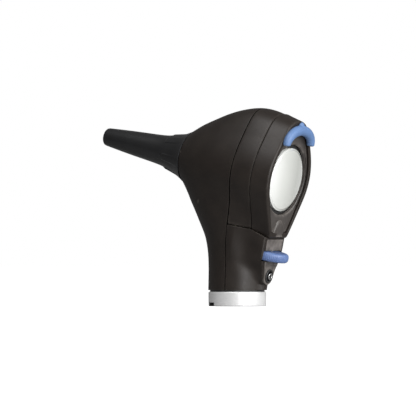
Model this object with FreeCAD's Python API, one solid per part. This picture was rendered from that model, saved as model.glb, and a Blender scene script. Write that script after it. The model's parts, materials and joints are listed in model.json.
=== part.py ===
import FreeCAD, Part
import math
import os
from FreeCAD import Placement, Rotation, Vector

# Otoscope head, millimetres.
# Row frame: origin at the centre of the collar ring's bottom face, +Z up the neck,
# speculum towards -X, viewing lens towards +X, symmetric about the XZ plane.
# Optic frame: u along the optical axis towards the viewing lens, v = Y, w square to both, up.

os.makedirs("parts", exist_ok=True)

# Driving dimensions
OPTIC_HEIGHT = 59.6        # height of the optical axis above the origin at X = 0
OPTIC_TILT = 12.0          # degrees the speculum end is raised
WALL = 1.6                 # casing wall
FLOOR = 1.2                # underside of the eyepiece module
SEAM = 0.25                # gap between two casings
RING_R = 12.5              # collar ring, outside
RING_HEIGHT = 6.3
SOCKET_R = 10.4            # bore that takes the handle
NOSE_U = -23.3             # front edge of the casing
SEAM_U = 7.3               # seam between the front casing and the eyepiece module
BAND_U = 17.75             # seam between the middle band and the eyepiece casing
REAR_U = 26.2              # rear edge of the eyepiece casing
SPINE_U = 24.8             # rear face of the neck's spine
SPINE_THICK = 1.0
PANEL_U = 25.2             # rear face of the viewing panel
BREAK_W = -22.9            # underside of the eyepiece module, ahead of the panel
BREAK_DROP = 2.4           # how much lower that underside is at the panel
TIP_U = -66.4              # front end of the speculum
PANEL_THICK = 1.5
LENS_R = 14.9              # flange of the viewing lens
LENS_FACE_R = 13.9         # its front part, inside the retainer
LENS_BACK_U = 19.2         # rear rim of the lens flange
CELL_START_U = 17.0        # barrel that holds the lens
CELL_END_U = 22.2
CELL_R = 17.0
OPENING_R = 15.5           # viewing opening in the panel
OBJECTIVE_R = 7.4
OBJECTIVE_STOP_R = 6.4
SPECULUM_SEAT_R = 8.9      # outside of the metal nose, inside the casing
PORT_R = 3.0               # hole for the air port in the spine
NIPPLE_R = 1.5
LAMP_R = 4.3
INSULATOR_R = 2.35
CONTACT_R = 1.2
HOUSING_TOP = 26.5         # top of the lamp housing
WHEEL_R = 7.8
WHEEL_THICK = 4.0
WHEEL_U = 24.0             # focus wheel axle
WHEEL_W = -33.5            # mid plane of the focus wheel
WHEEL_ROOM = 0.45          # gap between the wheel and its slot
AXLE_R = 0.5
AXLE_LOW = -39.2
AXLE_HIGH = -27.2
CRANK_R = 5.5              # axle to crank pin
CRANK_PIN_R = 0.6
FOCUS_RATE = 2.6           # carriage travel per radian of wheel
FOCUS_HALF_TURN = 30.0     # degrees either way
ROD_R = 1.0
ROD_V = 11.3
EAR_U = -3.0               # front of the carriage's lens ring and ears
EAR_LENGTH = 4.0
FOOT_LOW = -30.7           # plate under the carriage with the cam slot
FOOT_HIGH = -29.4
FRONT_FRAME_U = -12.6      # plates that carry the guide rods
REAR_FRAME_U = 3.4
FRAME_THICK = 1.5
TIE_V = 10.6               # tie screws between the two rod frames
TIE_W = 3.3
TIE_R = 0.8
BUNDLE_R = 1.5             # fibre cord
TUBE_R = 1.1               # air tube
PORT_W = -42.3             # height of the air port on the spine
RUNNING = 0.06             # radial clearance of a running fit
SLIP = 0.1                 # clearance between pieces that only sit together

TILT = math.radians(OPTIC_TILT)
OPTIC = Placement(Vector(0, 0, OPTIC_HEIGHT), Rotation(Vector(0, 1, 0), OPTIC_TILT))

# Half of the egg outline of the rear panel, as fractions of half-width and of half-height.
EGG = [(0.42, 0.90), (0.72, 0.60), (0.93, 0.30), (1.0, 0.0), (0.955, -0.16),
       (0.85, -0.31), (0.62, -0.57), (0.40, -0.80), (0.20, -0.95)]

# Head sections: u, top, bottom, half-width, share of the egg outline (0 is an ellipse).
HEAD = [(NOSE_U, 11.5, -10.9, 11.2, 0.0),
        (-18.8, 15.2, -16.1, 13.5, 0.1),
        (-13.3, 18.9, -22.5, 15.6, 0.3),
        (-7.3, 22.6, -28.6, 17.3, 0.5),
        (0.0, 26.0, -31.0, 18.6, 0.8),
        (SEAM_U, 28.0, -32.0, 19.4, 1.0),
        (13.0, 28.1, -32.0, 19.6, 1.0),
        (19.5, 27.1, -31.8, 19.3, 1.0),
        (REAR_U, 26.1, -31.5, 18.6, 1.0)]

# Neck sections: height, front, side and rear half-axes.
NECK = [(7.0, 12.6, 12.6, 12.6), (14.0, 12.5, 12.4, 12.6), (21.0, 12.7, 12.3, 13.0),
        (28.7, 13.8, 12.9, 14.2), (37.7, 16.6, 14.4, 14.6), (46.0, 19.6, 14.4, 13.6)]

# Keel behind the neck: w, half-width at the spine face.
KEEL = [(-46.5, 1.4), (-43.5, 4.0), (-40.3, 5.4), (-36.2, 7.1), (-33.5, 7.8), (-23.0, 8.3)]


def to_row(shape):
    """Moves a shape from the optic frame into the row frame."""
    moved = shape.copy()
    moved.Placement = OPTIC.multiply(moved.Placement)
    return moved


def optic_point(u, v, w):
    return OPTIC.multVec(Vector(u, v, w))


def closed_spline(points):
    curve = Part.BSplineCurve()
    curve.interpolate(points, PeriodicFlag=True)
    return Part.Wire(curve.toShape())


def open_spline(points):
    curve = Part.BSplineCurve()
    curve.interpolate(points)
    return curve.toShape()


def egg_wire(u, top, bottom, half, share):
    """Closed egg outline square to the optical axis."""
    side = []
    for v, w in EGG:
        wide = (1 - share) * math.sqrt(1 - w * w) + share * v
        side.append((half * wide, w * (top if w > 0 else -bottom)))
    points = [Vector(u, 0, top)] + [Vector(u, v, w) for v, w in side]
    points += [Vector(u, 0, bottom)] + [Vector(u, -v, w) for v, w in reversed(side)]
    return closed_spline(points)


def egg_plate(u, thick, inset):
    """Plate with the panel's outline, drawn in from the casing by inset."""
    _, top, bottom, half, share = HEAD[-1]
    outline = egg_wire(u, top - inset, bottom + inset, half - inset, share)
    return Part.Face(outline).extrude(Vector(thick, 0, 0))


def head_solid(inset):
    wires = [egg_wire(u, top - inset, bottom + inset, half - inset, share)
             for u, top, bottom, half, share in HEAD]
    return to_row(Part.makeLoft(wires, True, False))


def neck_solid(inset):
    wires = []
    for z, front, side, rear in NECK:
        points = []
        for step in range(12):
            angle = math.radians(30 * step)
            reach = rear if math.cos(angle) > 0 else front
            points.append(Vector((reach - inset) * math.cos(angle), (side - inset) * math.sin(angle), z))
        wires.append(closed_spline(points))
    return Part.makeLoft(wires, True, False)


def keel_solid(inset):
    """Wedge that carries the flat spine; it widens forward into the neck."""
    wires = []
    for w, half in KEEL:
        near = max(half - inset, 0.3)
        corners = [Vector(SPINE_U - inset, near, w), Vector(SPINE_U - 7, near + 2.2, w),
                   Vector(SPINE_U - 14, near + 3.0, w), Vector(SPINE_U - 14, -near - 3.0, w),
                   Vector(SPINE_U - 7, -near - 2.2, w), Vector(SPINE_U - inset, -near, w)]
        wires.append(Part.makePolygon(corners + corners[:1]))
    wedge = to_row(Part.makeLoft(wires, True, True))
    core = Part.makeBox(40, 40, 80, Vector(-14 + inset, -20, NECK[0][0]))
    return wedge.common(core)


def envelope(inset):
    """Outer form of the whole casing, drawn in by inset."""
    return head_solid(inset).multiFuse([neck_solid(inset), keel_solid(inset)])


def side_profile(points):
    """Solid that holds everything inside a closed XZ outline."""
    corners = [Vector(x, -40, z) for x, z in points]
    return Part.Face(Part.makePolygon(corners + corners[:1])).extrude(Vector(0, 80, 0))


def row_xz(u, w):
    point = optic_point(u, 0, w)
    return (point.x, point.z)


def turned(profile):
    """Solid of revolution about the optical axis from (u, radius) corners."""
    corners = [Vector(u, 0, r) for u, r in profile]
    face = Part.Face(Part.makePolygon(corners + corners[:1]))
    return face.revolve(Vector(0, 0, 0), Vector(1, 0, 0), 360)


def tube(outer, inner, start, end):
    """Tube on the optical axis."""
    shape = Part.makeCylinder(outer, end - start, Vector(start, 0, 0), Vector(1, 0, 0))
    return shape.cut(Part.makeCylinder(inner, end - start, Vector(start, 0, 0), Vector(1, 0, 0)))


def swept(points, radius):
    """Round cord through points of the row frame."""
    path = Part.Wire(open_spline(points))
    start = path.Edges[0].tangentAt(path.Edges[0].FirstParameter)
    circle = Part.Wire(Part.makeCircle(radius, points[0], start))
    return path.makePipeShell([circle], True, True)


def wheel_cylinder(radius, low, high):
    """Cylinder on the focus wheel's axle, optic frame."""
    return Part.makeCylinder(radius, high - low, Vector(WHEEL_U, 0, low), Vector(0, 0, 1))


# Region cutters, row frame. The neck seam runs down from the eyepiece seam to the collar.
NECK_SEAM = [(0.4, 0.0), (0.9, 28.0), row_xz(SEAM_U, BREAK_W)]
FAR = 100.0


def front_region():
    return side_profile([(-FAR, 0), NECK_SEAM[0], NECK_SEAM[1], NECK_SEAM[2],
                         row_xz(SEAM_U, FAR), (-FAR, FAR)])


def rear_neck_region():
    corners = NECK_SEAM[:2] + [row_xz(SEAM_U, BREAK_W - SEAM)]
    low, mid, top = [(x + SEAM, z) for x, z in corners]
    return side_profile([low, mid, top, row_xz(BAND_U, BREAK_W - SEAM),
                         row_xz(SPINE_U, BREAK_W - BREAK_DROP - SEAM),
                         row_xz(REAR_U + 5, BREAK_W - BREAK_DROP - SEAM), (FAR, 0)])


def module_region(start, end):
    low = BREAK_W - BREAK_DROP
    points = [row_xz(start, FAR), row_xz(start, BREAK_W)]
    if end > BAND_U + 1:
        points += [row_xz(SPINE_U, low), row_xz(end, low)]
    else:
        points += [row_xz(end, BREAK_W)]
    return side_profile(points + [row_xz(end, FAR)])


OUTER = envelope(0.0)
INNER = envelope(WALL)
SHELL = OUTER.cut(INNER)


# Casings
def wheel_slot():
    """Room for the focus wheel."""
    reach = WHEEL_THICK / 2 + WHEEL_ROOM
    return to_row(wheel_cylinder(WHEEL_R + WHEEL_ROOM + 0.15, WHEEL_W - reach, WHEEL_W + reach))


def front_casing():
    """Front shell of head and neck, open at the nose."""
    nose_r = 9.5
    nose_hole = to_row(Part.makeCylinder(nose_r, 12, Vector(NOSE_U - 2, 0, 0), Vector(1, 0, 0)))
    return SHELL.common(front_region()).cut(nose_hole)


def spine_outline(inset):
    """Teardrop outline of the spine plate in the spine's own plane."""
    side = [(-26.2, 7.0), (WHEEL_W, 6.2), (-38.0, 5.1)]
    end_r = PORT_R + 0.9 - inset
    right = [Vector(0, half - inset, w) for w, half in side]
    left = [Vector(0, inset - half, w) for w, half in side]
    low_right = Vector(0, end_r, PORT_W)
    low_left = Vector(0, -end_r, PORT_W)
    edges = [Part.LineSegment(left[0], right[0]).toShape()]
    edges.append(open_spline(right + [low_right]))
    edges.append(Part.Arc(low_right, Vector(0, 0, PORT_W - end_r), low_left).toShape())
    edges.append(open_spline([low_left] + left[::-1]))
    return Part.Face(Part.Wire(edges))


def spine_block(front, rear, inset):
    face = spine_outline(inset)
    face.translate(Vector(front, 0, 0))
    return to_row(face.extrude(Vector(rear - front, 0, 0)))


def port_cylinder(radius, start, end):
    """Cylinder on the air port's axis, row frame."""
    return to_row(Part.makeCylinder(radius, end - start, Vector(start, 0, PORT_W), Vector(1, 0, 0)))


def rear_neck_casing():
    """Rear half of the neck, with a pocket and a ledge for the spine plates."""
    body = SHELL.common(rear_neck_region())
    plate_back = SPINE_U - SPINE_THICK
    ledge = spine_block(plate_back - 1.4, plate_back, -1.0).common(OUTER).common(rear_neck_region())
    window = spine_block(SPINE_U - 4, SPINE_U, 1.0)
    pocket = spine_block(plate_back - SLIP, SPINE_U + 3, -SLIP)
    bore = port_cylinder(PORT_R, SPINE_U - 6, SPINE_U + 2)
    return biggest(body.fuse(ledge).cut(window.multiFuse([pocket, wheel_slot(), bore])))


def biggest(shape):
    return max(shape.Solids, key=lambda solid: solid.Volume)


def spine_part(low, high, boss_low, boss_high):
    """Piece of the spine above or below the wheel, with a boss that holds the axle's end."""
    plate = spine_block(SPINE_U - SPINE_THICK, SPINE_U, 0.0)
    keep = to_row(Part.makeBox(8, 20, high - low, Vector(SPINE_U - 6, -10, low)))
    boss_u, boss_v = 2.4, 3.6
    corner = Vector(SPINE_U - SPINE_THICK + 0.3 - boss_u, -boss_v / 2, boss_low)
    boss = Part.makeBox(boss_u, boss_v, boss_high - boss_low, corner)
    port_hole = port_cylinder(PORT_R, SPINE_U - 2, SPINE_U + 2)
    axle_hole = to_row(wheel_cylinder(AXLE_R, AXLE_LOW, AXLE_HIGH + 0.2))
    body = plate.common(keep).fuse(to_row(boss)).cut(wheel_slot().multiFuse([port_hole, axle_hole]))
    return biggest(body.removeSplitter())


def spine_plate():
    """Plate above the wheel."""
    return spine_part(WHEEL_W, WHEEL_W + 13.5, AXLE_HIGH - 1.8, AXLE_HIGH)


def port_plate():
    """Plate below the wheel, round the air port."""
    return spine_part(PORT_W - 8, WHEEL_W, AXLE_LOW + 0.2, AXLE_LOW + 2.8)


def floored_band(start, end):
    """Slice of the casing in the eyepiece module, closed underneath."""
    region = module_region(start, end)
    above = region.copy()
    above.translate(Vector(math.sin(TILT), 0, math.cos(TILT)) * FLOOR)
    return biggest(SHELL.common(region).fuse(OUTER.common(region).cut(above)))


def middle_band():
    return floored_band(SEAM_U + SEAM, BAND_U - SEAM / 2)


def eyepiece_casing():
    """Rear band with a rounded lip round the sunken panel."""
    region = module_region(BAND_U + SEAM / 2, REAR_U)
    ledge_thick, ledge_wide = 1.3, 1.3
    panel_back = PANEL_U - PANEL_THICK
    rim = egg_plate(panel_back - ledge_thick, ledge_thick, 0.4)
    seat = to_row(rim.cut(egg_plate(panel_back - ledge_thick - 0.2, 2, WALL + ledge_wide)))
    pocket = to_row(egg_plate(panel_back, 4, WALL))
    band = floored_band(BAND_U + SEAM / 2, REAR_U).fuse(seat.common(region).common(OUTER))
    return biggest(band.cut(pocket))


def rear_panel():
    """Sunken egg-shaped panel with the round viewing opening."""
    plate = to_row(egg_plate(PANEL_U - PANEL_THICK, PANEL_THICK, WALL + SLIP))
    opening = to_row(Part.makeCylinder(OPENING_R, 6, Vector(PANEL_U - 4, 0, 0), Vector(1, 0, 0)))
    keep = module_region(BAND_U + 1.5, REAR_U + 2)
    return biggest(plate.common(keep).cut(opening))


def thumb_pad():
    """Low dome under the lens that the thumb pushes on."""
    half, low, top = 4.6, -24.6, -18.0
    corners = (Vector(PANEL_U, -half, low), Vector(PANEL_U, half, low))
    dome = Part.Arc(corners[1], Vector(PANEL_U, 0, top), corners[0]).toShape()
    face = Part.Face(Part.Wire([Part.LineSegment(*corners).toShape(), dome]))
    thick = 0.7
    return to_row(face.extrude(Vector(thick, 0, 0)))


# Viewing optics
def lens_cell():
    """Barrel with a stop behind the lens and a conical baffle ahead of it."""
    baffle_u, stop_thick, stop_r = 10.0, 1.2, 13.4
    barrel = tube(CELL_R, LENS_R + RUNNING, CELL_START_U, CELL_END_U)
    stop = tube(LENS_R + RUNNING, stop_r, CELL_START_U, CELL_START_U + stop_thick)
    baffle = turned([(baffle_u, 11.0), (CELL_START_U, 15.4), (CELL_START_U, CELL_R), (baffle_u, 12.0)])
    return to_row(barrel.multiFuse([stop, baffle]).removeSplitter())


def lens_retainer():
    """Black ring in the panel's opening that holds the lens flange."""
    thick = 1.2
    start = CELL_END_U + SLIP
    return to_row(tube(OPENING_R - 0.04, LENS_FACE_R + SLIP, start, start + thick))


def dome_sphere(rim_u, rim_r, rise):
    """Sphere whose cap stands rise above a circle on the optical axis; a negative rise faces forward."""
    radius = (rim_r ** 2 + rise ** 2) / (2 * abs(rise))
    centre_u = rim_u + rise - math.copysign(radius, rise)
    return Part.makeSphere(radius, Vector(centre_u, 0, 0), Vector(1, 0, 0))


def viewing_lens():
    """Magnifier with a flange, a bevelled rim and two domed faces."""
    back_dome, face_dome, bevel = 1.7, 0.7, 0.8
    rim_u = PANEL_U - 0.8
    face_r = LENS_FACE_R - bevel
    back_u, front_u = LENS_BACK_U - back_dome, rim_u + face_dome
    blank = turned([(back_u, 0), (back_u, LENS_R), (CELL_END_U, LENS_R), (CELL_END_U, LENS_FACE_R),
                    (rim_u - bevel, LENS_FACE_R), (rim_u, face_r), (front_u, face_r), (front_u, 0)])
    back = dome_sphere(LENS_BACK_U, LENS_R, -back_dome)
    return to_row(blank.common(back).common(dome_sphere(rim_u, face_r, face_dome)))


def lens_seal():
    """O-ring between the stop and the lens."""
    cord = 0.4
    return to_row(Part.makeTorus(LENS_R - 0.55, cord, Vector(18.62, 0, 0), Vector(1, 0, 0)))


def brow_rest():
    """Soft arch over the top of the panel, with a small tab on its crown."""
    half, low, rise, thick = 10.6, 16.2, 6.2, 2.0
    points = [Vector(27.0, half * math.sin(math.radians(a)), low + rise * math.cos(math.radians(a)))
              for a in range(-96, 97, 24)]
    path = Part.Wire(open_spline(points))
    start = path.Edges[0].tangentAt(path.Edges[0].FirstParameter)
    arch = path.makePipeShell([Part.Wire(Part.makeCircle(thick, points[0], start))], True, True)
    tab_wide = 4.4
    tab = Part.makeBox(1.6, tab_wide, 3.0, Vector(26.4, -tab_wide / 2, low + rise))
    behind_panel = Part.makeBox(10, 60, 60, Vector(PANEL_U + SLIP, -30, 0))
    lip_clear = to_row(Part.makeBox(10, 60, 60, Vector(REAR_U + SLIP, -30, 0)))
    inside_lip = to_row(egg_plate(PANEL_U, 6, WALL + 0.4))
    body = to_row(arch.fuse(tab).common(behind_panel))
    return biggest(body.common(lip_clear.fuse(inside_lip)).removeSplitter())


# Focusing
def focus_wheel():
    low, high = WHEEL_W - WHEEL_THICK / 2, WHEEL_W + WHEEL_THICK / 2
    edge_round = 1.2
    wheel = wheel_cylinder(WHEEL_R, low, high)
    wheel = wheel.makeFillet(edge_round, [edge for edge in wheel.Edges if len(edge.Vertexes) == 1])
    return to_row(wheel.cut(wheel_cylinder(AXLE_R + RUNNING, low, high)).cut(crank_cylinder(WHEEL_W, high)))


def crank_cylinder(low, high):
    return Part.makeCylinder(CRANK_PIN_R, high - low, Vector(WHEEL_U - CRANK_R, 0, low), Vector(0, 0, 1))


def crank_pin():
    return to_row(crank_cylinder(WHEEL_W, FOOT_HIGH + 0.2))


def focus_axle():
    return to_row(wheel_cylinder(AXLE_R, AXLE_LOW, AXLE_HIGH))


def cam_strip(half, reach):
    """Curved strip that follows the crank pin as the carriage slides FOCUS_RATE per radian."""
    sides = ([], [])
    steps = 8
    for step in range(-steps, steps + 1):
        turn = math.radians(reach) * step / steps
        centre = Vector(WHEEL_U - CRANK_R * math.cos(turn) - FOCUS_RATE * turn, -CRANK_R * math.sin(turn), 0)
        along = Vector(CRANK_R * math.sin(turn) - FOCUS_RATE, -CRANK_R * math.cos(turn), 0).normalize()
        normal = Vector(-along.y, along.x, 0)
        sides[0].append(centre + normal * half)
        sides[1].append(centre - normal * half)
        if step == -steps:
            start_cap = Part.Arc(sides[0][0], centre - along * half, sides[1][0]).toShape()
    end_cap = Part.Arc(sides[1][-1], centre + along * half, sides[0][-1]).toShape()
    return Part.Face(Part.Wire([start_cap, open_spline(sides[1]), end_cap, open_spline(sides[0][::-1])]))


def focus_carriage():
    """Lens ring on two guide rods, with a forked leg down to the cam slot under it."""
    ring_r, ear_v, ear_w, leg_v, leg_thick = 9.6, 8.0, 3.6, 3.0, 1.6
    leg_u = -0.5
    ring_end = EAR_U + EAR_LENGTH
    foot_thick = FOOT_HIGH - FOOT_LOW
    pieces = [tube(OBJECTIVE_R + SLIP, OBJECTIVE_STOP_R, EAR_U, EAR_U + 1.0)]
    for side in (-1, 1):
        ear_corner = Vector(EAR_U, min(side * ear_v, side * (ear_v + 5.0)), -ear_w / 2)
        leg_corner = Vector(leg_u, min(side * leg_v, side * (leg_v + leg_thick)), FOOT_LOW)
        pieces.append(Part.makeBox(EAR_LENGTH, 5.0, ear_w, ear_corner))
        pieces.append(Part.makeBox(2.0, leg_thick, 23.5, leg_corner))
        pieces.append(Part.makeBox(20.6, leg_thick, foot_thick, leg_corner))
    body = tube(ring_r, OBJECTIVE_R + SLIP, EAR_U, ring_end).multiFuse(pieces)
    foot = cam_strip(1.4, FOCUS_HALF_TURN + 1).extrude(Vector(0, 0, foot_thick))
    foot.translate(Vector(0, 0, FOOT_LOW))
    slot = cam_strip(CRANK_PIN_R + 0.05, FOCUS_HALF_TURN + 2).extrude(Vector(0, 0, 4))
    slot.translate(Vector(0, 0, FOOT_LOW - 1))
    holes = [Part.makeCylinder(OBJECTIVE_STOP_R, 8, Vector(EAR_U - 2, 0, 0), Vector(1, 0, 0))]
    for side in (-1, 1):
        rod_start = Vector(EAR_U - 2, side * ROD_V, 0)
        holes.append(Part.makeCylinder(ROD_R + RUNNING, 8, rod_start, Vector(1, 0, 0)))
    body = body.fuse(foot).cut(slot)
    for hole in holes:
        body = body.cut(hole)
    return to_row(biggest(body))


def objective_lens():
    """Flat-backed lens with a domed rear face, seated in the carriage ring."""
    bulge, thick = 1.0, 2.4
    start = EAR_U + 1.0
    body = Part.makeCylinder(OBJECTIVE_R, thick, Vector(start, 0, 0), Vector(1, 0, 0))
    return to_row(body.common(dome_sphere(start + thick - bulge, OBJECTIVE_R, bulge)))


def objective_clip():
    """Split ring that keeps the objective lens in its seat."""
    start, thick, gap = -0.35, 0.8, 1.2
    split = Part.makeBox(2, gap, 3, Vector(start - 0.6, -gap / 2, OBJECTIVE_R - 1.9))
    return to_row(tube(OBJECTIVE_R, OBJECTIVE_R - 0.8, start, start + thick).cut(split))


def guide_rods():
    start = FRONT_FRAME_U + 1.0
    length = REAR_FRAME_U + FRAME_THICK + 0.1 - start
    rods = []
    for side in (-1, 1):
        rods.append(Part.makeCylinder(ROD_R, length, Vector(start, side * ROD_V, 0), Vector(1, 0, 0)))
    return to_row(Part.makeCompound(rods))


def rod_frame(start, thick, inset):
    """Plate across the front casing that holds the guide rods and leaves the view clear."""
    bar_w, ring_r, view_r = 9.0, 11.0, 8.0
    slab = to_row(Part.makeBox(thick, 60, bar_w, Vector(start, -30, -bar_w / 2)))
    ring = to_row(Part.makeCylinder(ring_r, thick, Vector(start, 0, 0), Vector(1, 0, 0)))
    plate = slab.fuse(ring).common(envelope(WALL + inset))
    view = to_row(Part.makeCylinder(view_r, thick + 2, Vector(start - 1, 0, 0), Vector(1, 0, 0)))
    holes = [view]
    for side in (-1, 1):
        for radius, w in ((ROD_R, 0.0), (TIE_R + RUNNING, TIE_W)):
            v = side * (TIE_V if w else ROD_V)
            hole = Part.makeCylinder(radius, thick + 2, Vector(start - 1, v, w), Vector(1, 0, 0))
            holes.append(to_row(hole))
    holes += [light_path(BUNDLE_R + SLIP), air_path(TUBE_R + SLIP)]
    for hole in holes:
        plate = plate.cut(hole)
    return biggest(plate)


# Nose and light path
def speculum():
    """Hollow cone with a rounded tip, a step and a ribbed flare."""
    joint_u = NOSE_U - 0.2
    tip_r, step_u, flare_u = 3.95, -38.2, -36.4
    flare = [(flare_u, 7.3), (-32.0, 7.9), (-27.5, 9.2), (joint_u, 11.3)]
    bore = [(joint_u, 9.6), (-27.5, 7.9), (-36.0, 6.1), (TIP_U + 1.0, 2.7)]
    lip = Vector(TIP_U, 0, 2.9)
    shoulder = [Vector(TIP_U + 1.6, 0, tip_r), Vector(step_u, 0, 6.4), Vector(flare_u, 0, 7.3)]
    inside = [Vector(joint_u, 0, 11.3)] + [Vector(u, 0, r) for u, r in bore] + [lip]
    edges = [Part.Arc(lip, Vector(TIP_U + 0.35, 0, 3.65), shoulder[0]).toShape(),
             open_spline([Vector(u, 0, r) for u, r in flare])]
    for path in (shoulder, inside):
        edges += [Part.LineSegment(first, second).toShape() for first, second in zip(path, path[1:])]
    profile = Part.Face(Part.Wire(Part.sortEdges(edges)[0]))
    body = profile.revolve(Vector(0, 0, 0), Vector(1, 0, 0), 360)
    rib_count, rib_r, rib_length = 6, 0.5, 8.6
    ribs = []
    for step in range(rib_count):
        rib = Part.makeCylinder(rib_r, rib_length, Vector(flare_u + 0.6, 0, 7.15), Vector(8.4, 0, 1.9))
        rib.rotate(Vector(0, 0, 0), Vector(1, 0, 0), 360 * (step + 0.5) / rib_count)
        ribs.append(rib)
    inner = turned([(NOSE_U + 2, 0), (NOSE_U + 2, bore[0][1])] + bore[:3] + [(TIP_U, 2.7), (TIP_U, 0)])
    return to_row(biggest(body.multiFuse(ribs).cut(inner)))


def speculum_seat():
    """Metal nose that the speculum pushes onto; the light sleeve lines it."""
    outside = [(-40.0, 5.1), (-36.0, 5.9), (-28.0, 7.6), (-24.2, 8.5), (-24.2, SPECULUM_SEAT_R),
               (-15.5, SPECULUM_SEAT_R)]
    inside = [(-15.5, 6.6), (-27.5, 5.8), (-40.0, 4.0)]
    return to_row(turned(outside + inside))


def light_sleeve():
    """Ring of light fibres along the inside of the seat."""
    thick = 0.8
    outside = [(-40.5, 3.9), (-27.5, 5.7), (-15.0, 6.5)]
    inside = [(u, r - thick) for u, r in reversed(outside)]
    return to_row(turned(outside + inside))


def light_path(radius):
    """Fibre cord's run from the lamp to the back of the light sleeve."""
    return swept([Vector(0, 0, HOUSING_TOP + 0.7), Vector(-0.8, 0, 31.0), Vector(-4.2, 0, 40.0),
                  Vector(-8.8, 0, 48.5), optic_point(-13.4, 0, -7.4)], radius)


def fibre_bundle():
    return light_path(BUNDLE_R)


def nose_ring():
    """Collar that closes the casing round the speculum seat."""
    inner_r, end_u, thick = 9.0, -17.2, 1.2
    sleeve = tube(inner_r + 0.4, inner_r, NOSE_U + 0.2, end_u)
    return to_row(sleeve.fuse(tube(11.4, inner_r, end_u - thick, end_u)).removeSplitter())


# Neck
def lamp_housing():
    """Turned holder for the lamp, with a flange that rests on the collar."""
    low, flange_thick, wall = 7.6, 1.2, 1.3
    body = Part.makeCylinder(LAMP_R + wall, HOUSING_TOP - 8.0, Vector(0, 0, 8.0))
    flange = Part.makeCylinder(10.9, flange_thick, Vector(0, 0, low))
    bore = Part.makeCylinder(LAMP_R + SLIP, 17.5, Vector(0, 0, 6.0))
    light = Part.makeCylinder(BUNDLE_R + SLIP, 6, Vector(0, 0, 22))
    return body.fuse(flange).cut(bore.fuse(light)).removeSplitter()


def lamp_shell():
    low, length, wall, floor = 9.0, 9.0, 0.7, 0.8
    shell = Part.makeCylinder(LAMP_R, length, Vector(0, 0, low))
    inside = Part.makeCylinder(LAMP_R - wall, length, Vector(0, 0, low + floor))
    return shell.cut(inside).cut(Part.makeCylinder(INSULATOR_R + 0.05, 2.0, Vector(0, 0, low - 0.5)))


def lamp_bulb():
    """Glass envelope with a round end."""
    low, straight, glass = 10.4, 9.0, 0.5

    def capsule(radius, start):
        tip = Part.makeSphere(radius, Vector(0, 0, low + straight))
        return Part.makeCylinder(radius, low + straight - start, Vector(0, 0, start)).fuse(tip)
    return capsule(3.1, low).cut(capsule(3.1 - glass, low + 0.6)).removeSplitter()


def lamp_filament():
    half, height, low = 1.2, 19.0, 11.0
    coil = Part.makeCylinder(0.35, 2 * half, Vector(-half, 0, height), Vector(1, 0, 0))
    legs = [Part.makeCylinder(0.2, height - low, Vector(x, 0, low)) for x in (-half, half)]
    return coil.multiFuse(legs).removeSplitter()


def lamp_insulator():
    low, thick = 8.2, 1.6
    body = Part.makeCylinder(INSULATOR_R, thick, Vector(0, 0, low))
    return body.cut(Part.makeCylinder(CONTACT_R + 0.05, thick, Vector(0, 0, low)))


def lamp_contact():
    return Part.makeCylinder(CONTACT_R, 3.0, Vector(0, 0, 7.0))


def ring_wedge(outer, low, thick, start, sweep):
    """Sector of a disc on the neck's axis, angles in degrees from +X."""
    wedge = Part.makeCylinder(outer, thick, Vector(0, 0, low), Vector(0, 0, 1), sweep)
    wedge.rotate(Vector(0, 0, 0), Vector(0, 0, 1), start)
    return wedge


def collar_ring():
    """Metal ring for the handle, with notches in its rim and two bayonet tracks in its bore."""
    notch_height, notch_start, notch_sweep = 1.65, 25.0, 40.0
    track_r, track_width, track_top, track_start = 11.5, 20.0, 5.4, 100.0
    ring = Part.makeCylinder(RING_R, RING_HEIGHT)
    cuts = [Part.makeCylinder(SOCKET_R, RING_HEIGHT)]
    for turn in (0.0, 180.0):
        notch = ring_wedge(RING_R + 1, -0.1, notch_height + 0.1, turn + notch_start, notch_sweep)
        cuts.append(notch.cut(Part.makeCylinder(SOCKET_R - 0.5, 2, Vector(0, 0, -0.1))))
        cuts.append(ring_wedge(track_r, -0.1, track_top + 0.1, turn + track_start, track_width))
        cuts.append(ring_wedge(track_r, track_top - 1.5, 1.5, turn + track_start, 2 * track_width))
    return ring.cut(cuts[0].multiFuse(cuts[1:]))


def collar_washer():
    """Dark spacer that leaves a thin gap under the casing."""
    radius, thick = 11.8, NECK[0][0] - RING_HEIGHT
    washer = Part.makeCylinder(radius, thick, Vector(0, 0, RING_HEIGHT))
    return washer.cut(Part.makeCylinder(SOCKET_R, thick, Vector(0, 0, RING_HEIGHT)))


def port_bezel():
    """Black ring round the nipple, a push fit in the spine."""
    start, end, bore = SPINE_U - 1.6, SPINE_U + 0.6, NIPPLE_R + 0.7
    return port_cylinder(PORT_R - 0.02, start, end).cut(port_cylinder(bore, start, end))


def port_nipple():
    """Metal tube that takes the bulb's hose: a lead-in at its tip, and a flange held behind the bezel."""
    start, flange_end, end, lead_in = SPINE_U - 2.6, SPINE_U - 1.7, SPINE_U + 1.0, 0.2
    flange = port_cylinder(PORT_R - 0.3, start, flange_end)
    tube = port_cylinder(NIPPLE_R, start, end - lead_in)
    tip = Part.makeCone(NIPPLE_R, NIPPLE_R - lead_in, lead_in, Vector(end - lead_in, 0, PORT_W),
                        Vector(1, 0, 0))
    body = flange.multiFuse([tube, to_row(tip)])
    return body.cut(port_cylinder(NIPPLE_R - 0.6, start, end)).removeSplitter()


def air_path(radius):
    """Air tube's run from the port, round the lamp, to the back of the speculum seat."""
    start = optic_point(SPINE_U - 2.8, 0, PORT_W)
    return swept([start, start + Vector(-2.4, 1.2, 0.8), Vector(7.0, 6.4, 17.0), Vector(2.0, 8.2, 26.0),
                  Vector(-4.0, 8.4, 38.0), optic_point(-9.5, 7.6, -9.6), optic_point(-14.5, 6.4, -4.0)],
                 radius)


def air_tube():
    return air_path(TUBE_R)


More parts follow.
